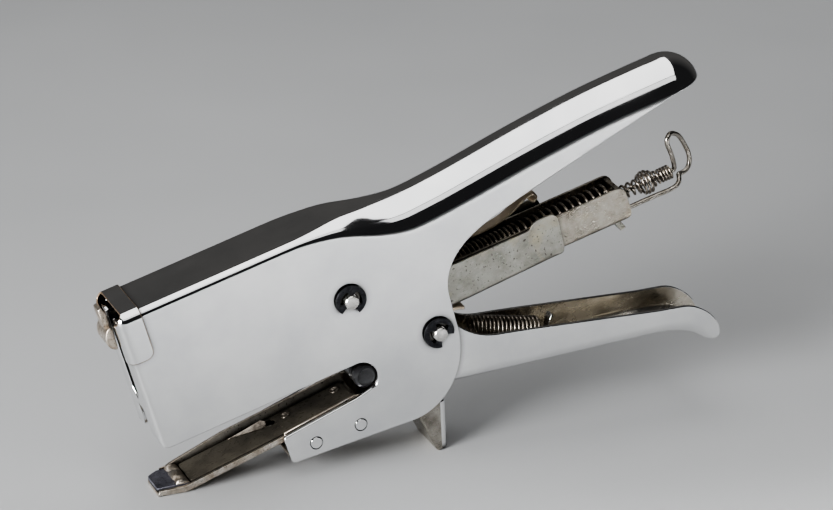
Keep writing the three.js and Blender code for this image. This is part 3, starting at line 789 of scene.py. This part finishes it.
def shell_pattern():
    """The near half of the blank, counter-clockwise, with the crest and the nose bridge as seams."""
    slot = front_u(SLOT_HALF)
    lower = drawn((slot + 0.6, 17.8), (0.06, 17.8), [6, (1.6, 15.2), (4, 15.2)])
    side = drawn(*arc(58, 10.4, 4.8, 90, -45, 16), (56.4, 5.9), [3, (55.7, 5.7), (54.6, 5.6)],
                 (34.2, 3.8), [4, (33.05, 3.7), (33.1, 2.6)],
                 (33.3, -3.6), [4, (33.4, -4.75), (34.6, -4.8)],
                 (69, -7.9), [20, (79.5, -8.2), (87.6, 1.5), (87.8, 13)],
                 (88, 22.5), [14, (88.2, 30), (93.5, 35.5), (102.6, 38.3)],
                 [26, (114, 41.8), (138, 46), HANDLE_RIM])
    tip = math.sqrt(HANDLE_RADIUS ** 2 - (HANDLE_TIP_Z - HANDLE_END.z) ** 2)
    side += [(HANDLE_END.x + tip * k / 12, HANDLE_TIP_Z) for k in range(1, 12)]
    end = shell_unbend(HANDLE_END.x + tip, HANDLE_TIP_Z)[0]
    crest = [(u, shell_crest(u)) for u in stations(end)]
    nose = drawn((BEND_AT, 54.0), (slot + 0.3, 54.0), (slot, 53.6),
                 (slot, 31.2), [3, (slot, 30.4), (slot - 0.5, 29.9)],
                 (front_u(0), 27.6), (front_u(0), 25.4),
                 (slot - 0.8, 25.4), [4, (slot, 25.4), (slot, 24.6)], (slot, 18.4))
    return lower + [shell_unbend(*p) for p in side] + crest[::-1] + nose


def stations(end):
    """Where the shell is sampled along its length, closest over the neck and the rounded end."""
    spots = [BEND_AT, 4.4, 6, 9] + [12 + 4 * k for k in range(12)]
    spots += [60 + 1.2 * k for k in range(28)] + [94 + 3 * k for k in range(23)]
    spots = [u for u in spots if u < HANDLE_END.x - 1] + [HANDLE_END.x]
    return spots + [HANDLE_END.x + (end - HANDLE_END.x) * k / 10 for k in range(1, 11)]


def body_shell():
    blank = shell_pattern()
    bridge = front_u(0)

    def on_seam(a, b):
        middle = (a + b) / 2
        on_crest = middle.x >= BEND_AT and abs(middle.y - shell_crest(middle.x)) < 0.15
        return on_crest or middle.x <= bridge + 0.01

    end = max(p[0] for p in blank)
    blank = inset(dense(blank, 3.2), 0.42, on_seam)
    blank = [(max(u, bridge), v) for u, v in blank]
    spots = []
    for u in stations(end):
        radius = edge_radius(u)
        start = ridge(u) - radius if u <= HANDLE_END.x else HANDLE_END.z
        spots += [(u, start + radius * QUARTER * k / 10) for k in range(11)]
        spots += [(u, start + radius * QUARTER + (SHELL_HALF - radius) / 2)]
    spots += [(BEND_AT - SHELL_BEND * QUARTER * k / 8, 17 + 3 * row)
              for k in range(9) for row in range(13)]
    holes = [round_hole(pin.x, pin.z, PIN_RADIUS + 0.35, 32) for pin in (FRONT_PIN, REAR_PIN)]
    holes += [round_hole(x, z, 2.05, 28) for x, z in LIMB_RIVETS]
    solid = patch([blank] + holes, shell_place, spots).mirrored().thickened(SHELL_SHEET, 0.42)
    skin_piece("shell", solid, "body_shell", CHROME, LINING)


# ---- nose cap and driver lug
CAP_LIFT = 0.8                          # the cap's outer face above the shell's skin
CAP_FOLD = SHELL_BEND + CAP_LIFT
CAP_HALF = SHELL_HALF + CAP_LIFT
CAP_AXIS = Vector((SHELL_FRONT - CAP_LIFT + CAP_FOLD, CAP_FOLD - CAP_HALF,
                   ridge(2) + CAP_LIFT - CAP_FOLD))  # centre of its folds
CAP_REAR = 7.6
CAP_BOTTOM = 42.3
CAP_OPENING = 6.4                       # half width of its open front
CAP_LIP = 2.5                           # front edge of its top face


def cap_place(u, v):
    """Bends half of the cap's pattern: u back from the front face, v up its side and over the top."""
    turn = (v - CAP_AXIS.z) / CAP_FOLD
    bent = min(max(turn, 0), QUARTER)
    inward = Vector((0, math.cos(bent), -math.sin(bent)))
    spot = CAP_AXIS + Vector((0, turn - bent if turn > 0 else 0, min(turn, 0))) * CAP_FOLD
    spot -= inward * CAP_FOLD
    lean = max(0, (CAP_AXIS.x - u) / CAP_FOLD)
    bent = min(lean, QUARTER)
    spot.x = max(CAP_AXIS.x, u) - CAP_FOLD * math.sin(bent)
    sink = 1 - math.cos(bent) + lean - bent
    return spot + inward * CAP_FOLD * (min(sink, 1) if 0 < turn < QUARTER else sink)


def front_cap():
    """A thin cap folded over the head's front corner, open where the driver's lug comes through."""
    crest = CAP_AXIS.z + CAP_FOLD * QUARTER - CAP_AXIS.y
    flange = CAP_AXIS.x - CAP_FOLD * QUARTER + CAP_AXIS.y + CAP_OPENING
    loop = rounded((flange, CAP_BOTTOM, 0.4), (CAP_REAR, CAP_BOTTOM, 2.6), (CAP_REAR, crest, 0),
                   (CAP_LIP, crest, 0), (CAP_LIP, CAP_AXIS.z + 3.6, 0),
                   (CAP_LIP - 0.6, CAP_AXIS.z + 3, 0), (0.2, CAP_AXIS.z + 0.9, 0),
                   (flange + 0.6, CAP_AXIS.z, 0), (flange, CAP_AXIS.z - 0.6, 0), steps=6)
    loop = inset(dense(loop, 0.8), 0.24, lambda a, b: min(a.y, b.y) > crest - 0.01)
    spots = [(flange + 0.7 * i, CAP_BOTTOM + 0.8 * k) for i in range(20) for k in range(40)]
    solid = patch([loop], cap_place, spots).mirrored().thickened(0.5, 0.24)
    skin_piece("nose_cap", solid, "front_cap", CHROME, edging=WORN_EDGE)


def driver_lug():
    """The bulb that sticks out of the nose slot and its neck, hooked back at the top corner."""
    back = SHELL_FRONT - 0.9
    bulb = drawn((back, 45.4), [10, (-2.3, 45.2), (-3.0, 48.6), (-1.8, 50.8)],
                 [6, (-1.0, 52.3), (back, 52.0)])
    skin_piece("lug_bulb", slab(bulb[::-1], -4.0, 4.0, 0.45), "driver_lug", NICKEL)
    neck = [(back, 50.0), (back, 55.0), (-0.4, 57.6), (-1.5, 57.2), (-1.5, 54.4), (-1.5, 50.6)]
    skin_piece("lug_neck", slab(neck, -2.2, 2.2, 0.35), "driver_lug", NICKEL)


# ---- anvil arm
def on_arm(distance, lift):
    return (HEEL.x + distance * math.cos(ARM_RISE) - lift * math.sin(ARM_RISE),
            HEEL.z + distance * math.sin(ARM_RISE) + lift * math.cos(ARM_RISE))


def on_nose(distance, lift):
    return (HEEL.x - distance * math.cos(TILT) + lift * math.sin(TILT),
            HEEL.z + distance * math.sin(TILT) + lift * math.cos(TILT))


def anvil_arm():
    tip, end = 7.9, 52.5
    base = drawn(on_nose(tip, 0), on_nose(4, 0), on_nose(1.2, 0), [5, on_nose(0, 0), on_arm(1.2, 0)],
                 *[on_arm(d, 0) for d in (8, 20, 32, 44, end)])
    near = [on_arm(end, 2.1), on_arm(1.2, 2.1), on_nose(1.0, 2.0), on_nose(tip, 1.8)]
    far = [on_arm(end, 4.6), on_arm(16, 4.6), on_arm(2, 3.5), on_nose(2, 2.6), on_nose(tip, 2.1)]
    skin = channel(base, near, far, ARM_HALF, 1.15, 1.0, 0.2)
    trim_tip(skin_piece("anvil_channel", skin, "anvil_arm", NICKEL, ARM_INSIDE))


def trim_tip(piece, margin=0.0):
    """Rounds off the far front corner of the anvil's nose in plan, with three flat cuts."""
    corner = [(-3.7 + margin, 1.4), (-2.6 + margin, 3.4 - margin), (0.2 + margin, 5.4 - margin),
              (5.0, 6.75 - margin)]
    mesh = bmesh.new()
    mesh.from_mesh(piece.data)
    for (x0, y0), (x1, y1) in zip(corner, corner[1:]):
        spot = TO_ROW @ Vector((x0, y0, 0))
        outward = LEVEL.to_3x3() @ Vector((y0 - y1, x1 - x0, 0)).normalized()
        cut = bmesh.ops.bisect_plane(mesh, geom=mesh.verts[:] + mesh.edges[:] + mesh.faces[:],
                                     plane_co=spot, plane_no=outward, clear_outer=True)
        edges = [e for e in cut["geom_cut"] if isinstance(e, bmesh.types.BMEdge)]
        bmesh.ops.holes_fill(mesh, edges=edges)
    mesh.to_mesh(piece.data)
    mesh.free()
    piece.data.set_sharp_from_angle(angle=math.radians(35))


def anvil_plate():
    """The hardened tip: a thin tongue and, across the fold, a bar with two rounded grooves."""
    half = 5.3
    tongue = [on_nose(8.5, 1.4), on_nose(0, 1.3), on_arm(1.7, 1.3), on_arm(1.7, 2.2),
              on_nose(0.5, 2.4), on_nose(8.0, 2.1)]
    tip = skin_piece("tip_tongue", slab(tongue, -half, half, 0.3), "anvil_plate", BLUED)
    trim_tip(tip, 0.25)
    bar_half, bar_height, steps = 5.25, 3.55, 40
    groove_at, groove_width, groove_depth = 2.9, 0.95, 0.85
    end_run, end_drop = 0.5, 0.4
    rings = []
    for k in range(steps + 1):
        y = -bar_half + 2 * bar_half * k / steps
        groove = math.exp(-((abs(y) - groove_at) / groove_width) ** 2)
        end = max(0, abs(y) - (bar_half - end_run)) / end_run
        height = bar_height - groove_depth * groove - end_drop * end ** 2
        ring = [on_nose(2.9, 1.9), on_nose(2.5, height - 0.5), on_nose(1.9, height - 0.1),
                on_nose(0.9, height + 0.05 - 0.3 * groove), on_arm(0.4, height),
                on_arm(1.3, height - 0.45), on_arm(1.8, 1.9)]
        rings.append([Vector((x, y, z)) for x, z in ring[::-1]])
    ring_piece("forming_bar", rings, "anvil_plate", NICKEL, 50)


def jaw_leaf():
    place, _ = along_path([on_arm(0, LEAF_TOP), on_arm(60, LEAF_TOP)])
    start, end, half = 2.1, 51.5, 5.2
    outline = rounded((start, -half, 0.6), (end, -half, 0.6), (end, half, 0.6), (start, half, 0.6))
    opening = [(17.5, 4.7), (27.2, 1.0)] + arc(28.7, 2.7, 1.8, -120, 110, 14) + [(27.4, 4.8)]
    rivets = [round_hole(at, RIVET_Y, 1.5, 20) for at in LEAF_RIVETS]
    skin = patch([inset(outline, 0.1), opening] + rivets, place)
    skin_piece("leaf", skin.thickened(0.5, 0.1, 2), "jaw_leaf", LEAF)

    def raised(s, y):
        lift = LEAF_TOP + 1.15 * (max(0.0, s - 16.6) / 11) ** 1.3 + 0.24 * (y - 3.6)
        x, z = on_arm(s, lift)
        return Vector((x, y, z))

    tab = [(16.8, 4.75), (22, 2.9), (26.8, 1.15), (27.8, 1.7), (27.9, 3.0), (27.0, 4.2)]
    tab = inset(dense(tab, 1.0), 0.12)
    skin = patch([tab], raised, [(17 + k * 0.8, 1.4 + j * 0.5) for k in range(14) for j in range(7)])
    skin_piece("leaf_lance", skin.thickened(0.5, 0.12, 2), "jaw_leaf", SPRING)


def leaf_rivets():
    up = Vector((-math.sin(ARM_RISE), 0, math.cos(ARM_RISE)))
    for place, at in zip(("front", "rear"), LEAF_RIVETS):
        x, z = on_arm(at, LEAF_TOP - 0.2)
        profile = [(-0.3, 1.44), (0.3, 1.44), (0.42, 1.36), (0.5, 1.1), (0.46, 0.85),
                   (0.3, 0.6), (0.22, 0.3), (0.2, 0.05)]
        node = f"leaf_rivet_{place}"
        turned_piece(node + "_head", profile, (x, RIVET_Y, z), up, 28, node, SPRING)


def limb_rivets():
    profile = [(-1.6, 1.66), (-0.1, 1.66), (0.06, 1.6), (0.12, 1.45), (0.14, 1.2), (0.13, 0.9),
               (0.1, 0.5), (0.1, 0.05)]
    for place, (x, z) in zip(("front", "rear"), LIMB_RIVETS):
        for hand, side in SIDES:
            node = f"limb_rivet_{place}_{hand}"
            spot = (x, side * (SHELL_HALF - 0.02), z)
            turned_piece(node + "_head", profile, spot, (0, side, 0), 36, node, CHROME)


def limb_stiffener():
    base = [(33.8, -3.9), (45, -4.87), (57, -5.92), (68.3, -6.9)]
    top = [(68.3, 3), (59, 4.8), (55, 6.0), (33.9, 4.1)]
    skin_piece("limb_inner", channel(base, top, top, 7.8, 1.4, 0.8), "limb_stiffener", NICKEL)


def on_table(x, lift=0):
    """The point of the side view that stands on the table, or lift above it."""
    return x, HEEL.z - (x - HEEL.x) * math.tan(TILT) + lift


def rear_foot():
    """A folded bracket: a sloping front web, two cheeks and a rolled fold behind each."""
    half, fold = 7.7, 1.55
    knee = Vector((70.3, -8.2))
    toe = Vector(on_table(72.8))
    base = [(69.9, -6.4), knee] + [knee.lerp(toe, k / 6) for k in range(1, 7)]
    cheek = [on_table(74.3), (77.6, -6.4), (77.4, 1), (70.6, 1)]
    skin = channel(base, cheek, cheek, half, 1.0, 1.2, 0.25)
    skin_piece("foot_bracket", skin, "rear_foot", FOOT, DARK)
    top = Vector((77.7, -6.9))
    foot = Vector(on_table(74.4, 0.7))
    for hand, side in SIDES:
        path = [top.lerp(foot, share) for share in (0, 0.03, 0.33, 0.67, 1)]
        path = [(x, side * (half - fold), z) for x, z in path]
        wire_piece(f"foot_fold_{hand}", path, fold, 28, "rear_foot", CHROME)


def throat_stop():
    reach = 7.8
    half = [(reach - 4.6, 3.3), (reach - 4.2, 2.7), (reach - 2.2, 2.7), (reach - 1.8, 3.3),
            (reach - 0.9, 3.4), (reach - 0.25, 3.1), (reach, 2.5), (reach - 0.25, 1.9),
            (reach - 0.3, 0.9)]
    turned_piece("stop_roller", both_ends(half), (59.9, 0, 9.6), (0, 1, 0), 40, "throat_stop",
                 RUBBER, 35)


# ---- pins and snap rings
def pins():
    reach = PIN_REACH
    end = [(reach - 1.05, 1.5), (reach - 1.0, PIN_RADIUS - 0.05), (reach - 0.35, PIN_RADIUS),
           (reach - 0.1, PIN_RADIUS - 0.22), (reach, PIN_RADIUS - 0.7), (reach + 0.02, 0.3)]
    groove = [(CLIP_Y - 0.47, PIN_RADIUS), (CLIP_Y - 0.42, 1.5), (CLIP_Y + 0.3, 1.5)]
    for place, pin in (("front", FRONT_PIN), ("rear", REAR_PIN)):
        turned_piece(f"{place}_axle", both_ends(groove + end), pin, (0, 1, 0), 40, f"{place}_pin",
                     BRIGHT, 30)


def ring_outline(mouth):
    """A snap ring opened towards an angle, its bore scalloped into three lugs."""
    opening, steps = 0.62, 56
    lugs = math.pi, opening + 0.28, 2 * math.pi - opening - 0.28
    outer = []
    inner = []
    for k in range(steps + 1):
        turn = opening + (2 * math.pi - 2 * opening) * k / steps
        off = min(abs(turn - lug) for lug in lugs)
        share = min(max((0.42 - off) / 0.18, 0), 1)
        away = Vector((math.cos(turn + mouth), math.sin(turn + mouth)))
        outer.append(away * (4.3 - 0.25 * math.cos(turn)))
        inner.append(away * (3.05 - 1.3 * share * share * (3 - 2 * share)))
    return outer + inner[::-1]


def snap_rings():
    for place, pin, mouth in (("front", FRONT_PIN, -1.9), ("rear", REAR_PIN, -1.05)):
        outline = [(pin.x + p.x, pin.z + p.y) for p in ring_outline(mouth)]
        for hand, side in SIDES:
            y = side * CLIP_Y
            skin = slab(outline, y - 0.35, y + 0.35, 0.1)
            skin_piece(f"snap_ring_{place}_{hand}", skin, f"{place}_clip_{hand}", BLACK)


# ---- lower handle
def lower_handle():
    """The grip channel, closed below, that runs on past the pivot as two arms."""
    base = drawn(*dense([(81.6, -3.59), (138.9, -15.9)], 6, False),
                 [10, (149, -18.1), (152.6, -21.6)], [7, (154.4, -23.4), (156.2, -24.3)])
    hook = drawn(base[-1], [5, (157.6, -25.1), (159.0, -24.2)],
                 [14, (161.2, -21.6), (157.8, -13.4), (151.4, -11.2)],
                 [5, (147.7, -10.2), (143.9, -9.2)])
    arms = drawn((115.4, -0.2), [8, (103.5, 3.6), (97.6, 5.2)], [8, (91.5, 7.2), (87.6, 13.4)],
                 (86.2, 15.6), (80, 22), (66, 29.5), (54, 32.5), (24, 41.5), (8, 43.5), (8, 34),
                 (73, 17.2), (77.8, 12.0), [8, (77.2, 3.4), base[0]])
    top = hook[2:] + arms[:-1]
    pin = round_hole(REAR_PIN.x, REAR_PIN.z, PIN_RADIUS + 0.1, 28)
    skin = channel(base, top, top, LEVER_HALF, tapered(3.4, len(base), 9), 1.0, 0.3, [pin])
    skin_piece("grip", skin, "lower_handle", CHROME, LINING)


def lever_spring():
    path = coil((92.8, 0, 6.2), (111.4, 0, -2.9), 17, lambda t: 3.15, 20)
    wire_piece("return_spring", path, 0.44, 8, "lever_spring", SPRING)


def spring_anchor():
    path = [(116.6, -0.4), (115.2, -2.4), (113.7, -6.4), (113.0, -9.6)]
    skin_piece("anchor_tab", strip(path, -1.6, 1.6, 0.8, 0.2, 0.6), "spring_anchor", BRIGHT)


# ---- magazine
def magazine_sleeve():
    base = drawn((5.4, 17.6), (30, 17.6), (60, 17.6), (93.8, 17.6), (119, 18.47), (120, 18.5),
                 [5, (121.4, 18.55), (122.3, 18.95)])
    top = drawn(base[-1], [5, (123.2, 19.4), (123.25, 20.8)],
                (123.6, 28.6), [6, (123.7, 31.3), (121.2, 31.3)],
                (118.2, 31.3), [3, (117, 31.3), (116.3, 30.6)],
                (115.4, 29.8), [3, (115, 29.4), (114.2, 29.4)], (7, 29.4), (5.4, 21.6))[1:]
    skin = channel(base, top, top, SLEEVE_HALF, tapered(1.4, len(base), 6), 0.8, 0.2)
    skin_piece("sleeve", skin, "magazine_sleeve", ZINC)


def thumb_catch():
    """A crowned leaf whose tip is rolled under."""
    path = [(99, 30.8), (104, 30.85), (108, 31.1), (112, 31.9), (115.4, 33.3), (118, 34.6),
            (120.3, 35.35), (122.0, 34.7), (122.3, 33.2), (121.2, 32.4), (119.9, 32.9)]
    near, far, crown = 1.6, 5.2, 0.08
    skin = strip(path, near, far, 0.6, 0.25, 1.2)
    for point, normal in zip(skin.points, skin.normals):
        off = point.y - (near + far) / 2
        point.z -= crown * off ** 2
        normal.y += 2 * crown * off * normal.z
    skin_piece("catch_leaf", skin, "thumb_catch", BRONZE)


def sleeve_tongue():
    path = [(80, 17.35), (86.4, 17.3), (89.2, 17.1), (91.0, 16.6), (92.2, 15.9)]
    skin_piece("tongue", strip(path, -6.2, 6.2, 0.9, 0.25, 0.8), "sleeve_tongue", BRONZE)


def staple_channel():
    base = drawn((7.6, 19.4), (50, 19.4), (100, 19.4), (140.6, 19.4), (141.6, 19.4),
                 [5, (142.8, 19.4), (143.7, 19.9)])
    top = drawn(base[-1], [5, (144.6, 20.4), (144.6, 21.8)],
                (144.6, 26.6), [7, (144.6, 29.5), (141.6, 29.5)], (7.6, 29.5))[1:]
    skin = channel(base, top, top, CHANNEL_HALF, tapered(1.2, len(base), 6), 0.75, 0.18)
    skin_piece("inner_channel", skin, "staple_channel", ZINC_RUBBED)


def pusher_spring():
    """Close turns for most of the length, then wider ones up to the end plate."""
    end = Vector((141.6, 0, COIL_Z))
    places = [(0, 0), (0.83, 0.76), (1, 1)]
    path = coil((22.2, 0, COIL_Z), end, 82, lambda t: 3.6, 14, lambda t: between(places, t))
    spring = wire_piece("feed_spring", path, 0.4, 8, "pusher_spring", SPRING)
    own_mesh(spring)


# ---- pull wire and its ring
def pull_wire():
    rod = [(19.6 + 14 * k, 0, ROD_Z) for k in range(11)]
    loop = smooth_path([
        (159.6, 0, ROD_Z), (161.2, -0.3, 25.6), (161.0, -1.5, 30.2), (160.4, -2.2, 34.9),
        (162.3, -1.4, 36.4), (165.0, 0.4, 33.8), (166.6, 1.8, 29.3), (167.0, 1.9, 26.2),
        (166.3, 1.6, 23.9), (164.9, 1.0, 22.9), (163.4, 0.6, 22.8), (162.2, 0.2, 23.0),
        (161.8, -0.6, 22.7), (161.0, -1.4, 21.6), (158.6, -1.9, 20.9), (152, -2, 21.05),
        (140.4, -2, 21)], 7)
    wire_piece("rod_and_loop", rod[:-1] + loop, 0.68, 12, "pull_wire", WIRE)


def ring_spring():
    """A loose coil that swells in the middle: its radius and how far along it is, turn by turn."""
    count = 12
    radii = [(0, 1.75), (2.4, 1.8), (3.2, 2.7), (4.0, 3.1), (5.6, 3.05), (6.3, 2.4), (7.0, 1.75),
             (count, 1.8)]
    places = [(0, 0), (2.4, 0.30), (3.2, 0.38), (5.6, 0.54), (6.3, 0.60), (8.0, 0.76), (count, 1)]
    path = coil((145.2, 0, ROD_Z), (160.0, 0, ROD_Z), count,
                lambda t: between(radii, count * t), 22, lambda t: between(places, count * t))
    wire_piece("ring_coil", path, 0.36, 8, "ring_spring", SPRING)


def carried_over():
    """CAD nodes whose shape stays: softened edges and their finishes."""
    finishes = {"hammer_block": DARK, "driver_blade": BRIGHT, "staple_rail": DARK,
                "channel_end_plate": ZINC_RUBBED, "pusher_block": DARK, "channel_lug": ZINC}
    for node, material in finishes.items():
        obj = frame["nodes"][node]
        for slot in obj.material_slots:
            slot.material = material
        bevel = obj.modifiers.new("soft_edges", "BEVEL")
        bevel.width = 0.15 * MM
        bevel.segments = 2
        bevel.limit_method = "ANGLE"
        bevel.angle_limit = math.radians(40)


for build in (body_shell, front_cap, driver_lug, anvil_arm, anvil_plate, jaw_leaf, leaf_rivets,
              limb_rivets, limb_stiffener, rear_foot, throat_stop, pins, snap_rings, lower_handle,
              lever_spring, spring_anchor, magazine_sleeve, thumb_catch, sleeve_tongue,
              staple_channel, pusher_spring, pull_wire, ring_spring, carried_over):
    build()


# ---- camera, light and floor
CAMERA_PLACE = -0.36636, -0.91038, 0.47180
CAMERA_TARGET = 0.00145, 0, 0.05502
CAMERA_LENS = 172.9


def look(obj, place, target):
    obj.location = place
    obj.rotation_euler = (Vector(target) - Vector(place)).to_track_quat("-Z", "Y").to_euler()


def softbox(name, place, target, width, height, power, spread=180):
    light = bpy.data.lights.new(name, "AREA")
    light.shape = "RECTANGLE"
    light.size = width
    light.size_y = height
    light.energy = power
    light.spread = math.radians(spread)
    look(linked(name, light), place, target)


def camera():
    lens = bpy.data.cameras.new("camera")
    lens.lens = CAMERA_LENS
    lens.sensor_width = 36
    lens.clip_start = 0.01
    lens.clip_end = 20
    seat = linked("camera", lens)
    look(seat, CAMERA_PLACE, CAMERA_TARGET)
    bpy.context.scene.camera = seat


def lights():
    softbox("overhead", (-0.21, 0.02, 1.0), (-0.21, 0.02, 0), 1.14, 1.45, 9.8)
    softbox("overhead_front", (-0.15, -0.95, 0.98), (-0.15, -0.5, 0), 1.2, 0.36, 1.65)
    softbox("front_pool", (0.13, -0.28, 0.60), (0.13, -0.28, 0), 0.44, 0.20, 2.5, spread=30)
    softbox("left_card", (-0.95, -0.40, 0.30), (-0.05, 0, 0.05), 0.5, 0.5, 4, spread=60)


def backdrop():
    """A dark room, a little lighter behind the tool."""
    world = bpy.data.worlds.new("studio")
    world.use_nodes = True
    bpy.context.scene.world = world
    sky = Nodes(world.node_tree)
    parts = sky.node("ShaderNodeSeparateXYZ",
                     Vector=sky.node("ShaderNodeTexCoord").outputs["Generated"])
    shade = sky.ramp(parts.outputs["Y"], (0, (0.018, 0.018, 0.019)), (0.6, (0.078, 0.076, 0.074)))
    sky.set(sky.tree.nodes["Background"], "Color", shade)
    bpy.context.scene.view_settings.view_transform = "AgX"
    bpy.context.scene.view_settings.look = "AgX - Medium High Contrast"


def paper_floor():
    mesh = bpy.data.meshes.new("floor")
    side = 4
    corners = [(-side, -side, 0), (side, -side, 0), (side, side, 0), (-side, side, 0)]
    mesh.from_pydata(corners, [], [(0, 1, 2, 3)])
    floor = linked("floor", mesh)
    paper = Finish("pale_floor", (0.62, 0.62, 0.61), 0.6, 0.0)
    paper.color(paper.ramp(paper.noise(180, detail=3), (0.3, (0.36, 0.365, 0.37)),
                           (0.7, (0.40, 0.405, 0.41))))
    mesh.materials.append(paper.material)


camera()
lights()
backdrop()
paper_floor()
